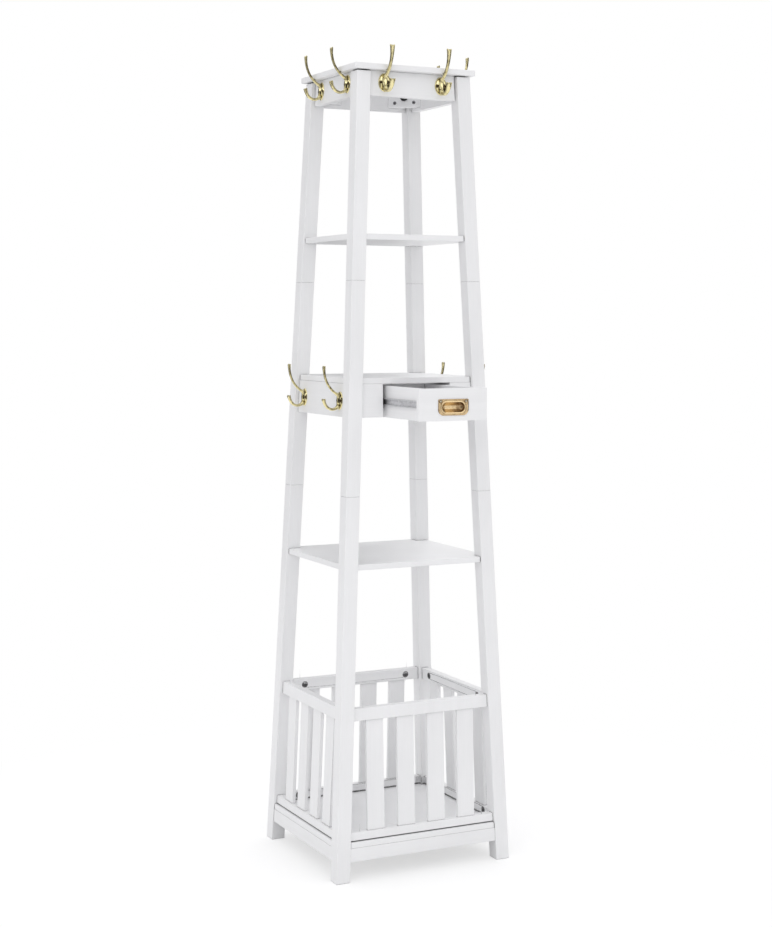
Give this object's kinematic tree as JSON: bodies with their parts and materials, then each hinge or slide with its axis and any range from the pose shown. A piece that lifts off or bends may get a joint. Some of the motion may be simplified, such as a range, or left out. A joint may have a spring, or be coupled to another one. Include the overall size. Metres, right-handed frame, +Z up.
{
  "type": "hall tree",
  "caption": "Free-standing hall tree with splayed legs, coat hooks on three sides, shelves, a box with a sliding drawer and a slatted basket.",
  "frame": {"origin": "on the floor under the middle of the four legs", "axes": "+Z up; the drawer opens toward -Y; +X is the right side as seen from the drawer's side"},
  "size_m": [0.44, 0.5292, 1.8409],
  "materials": {
    "white_paint": "satin white paint on wood",
    "panel_board": "thin white board",
    "brass": "satin antique brass",
    "steel": "zinc plated",
    "black": "black",
    "beech": "bare"
  },
  "bodies": {
    "stand": {"leg_front_right_lower": "white_paint", "leg_front_right_middle": "white_paint", "leg_front_right_upper": "white_paint", "leg_back_right_lower": "white_paint", "leg_back_right_middle": "white_paint", "leg_back_right_upper": "white_paint", "leg_back_left_lower": "white_paint", "leg_back_left_middle": "white_paint", "leg_back_left_upper": "white_paint", "leg_front_left_lower": "white_paint", "leg_front_left_middle": "white_paint", "leg_front_left_upper": "white_paint", "leg_studs": "steel", "top_panel": "white_paint", "top_apron_front": "white_paint", "top_apron_right": "white_paint", "top_apron_back": "white_paint", "top_apron_left": "white_paint", "corner_blocks": "white_paint", "corner_bolts": "black", "block_screws": "steel", "upper_shelf": "white_paint", "lower_shelf": "white_paint", "shelf_pins": "steel", "box_top": "white_paint", "box_panel_right": "white_paint", "box_panel_back": "white_paint", "box_panel_left": "white_paint", "box_stile_right": "white_paint", "box_stile_left": "white_paint", "box_partition_right": "white_paint", "box_partition_left": "white_paint", "frame_dowels": "beech", "slide_channels": "steel", "basket_front": "white_paint", "basket_right": "white_paint", "basket_back": "white_paint", "basket_left": "white_paint", "cam_locks": "black", "cam_bolts": "steel", "corner_plates": "steel", "bottom_board": "white_paint", "base_aprons": "white_paint", "hooks_top_front": "brass", "hooks_top_right": "brass", "hooks_top_left": "brass", "hooks_middle_right": "brass", "hooks_middle_left": "brass", "hook_screws": "brass"},
    "drawer": {"drawer_front": "white_paint", "drawer_side_right": "white_paint", "drawer_side_left": "white_paint", "drawer_back": "white_paint", "drawer_bottom": "panel_board", "drawer_pull": "brass", "pull_screws": "brass", "slide_runners": "steel"},
    "slide_cages": {"ball_cages": "steel"}
  },
  "joints": [
    {"name": "drawer_slide", "type": "slide", "parent": "stand", "child": "drawer", "axis": [0, -1, 0], "range_m": [-0.17, 0.02]},
    {"name": "cage_travel", "type": "slide", "parent": "stand", "child": "slide_cages", "axis": [0, -1, 0], "range_m": [-0.085, 0.01]}
  ],
  "couplings": [
    {"joint": "cage_travel", "follows": "drawer_slide", "ratio": 0.5}
  ]
}
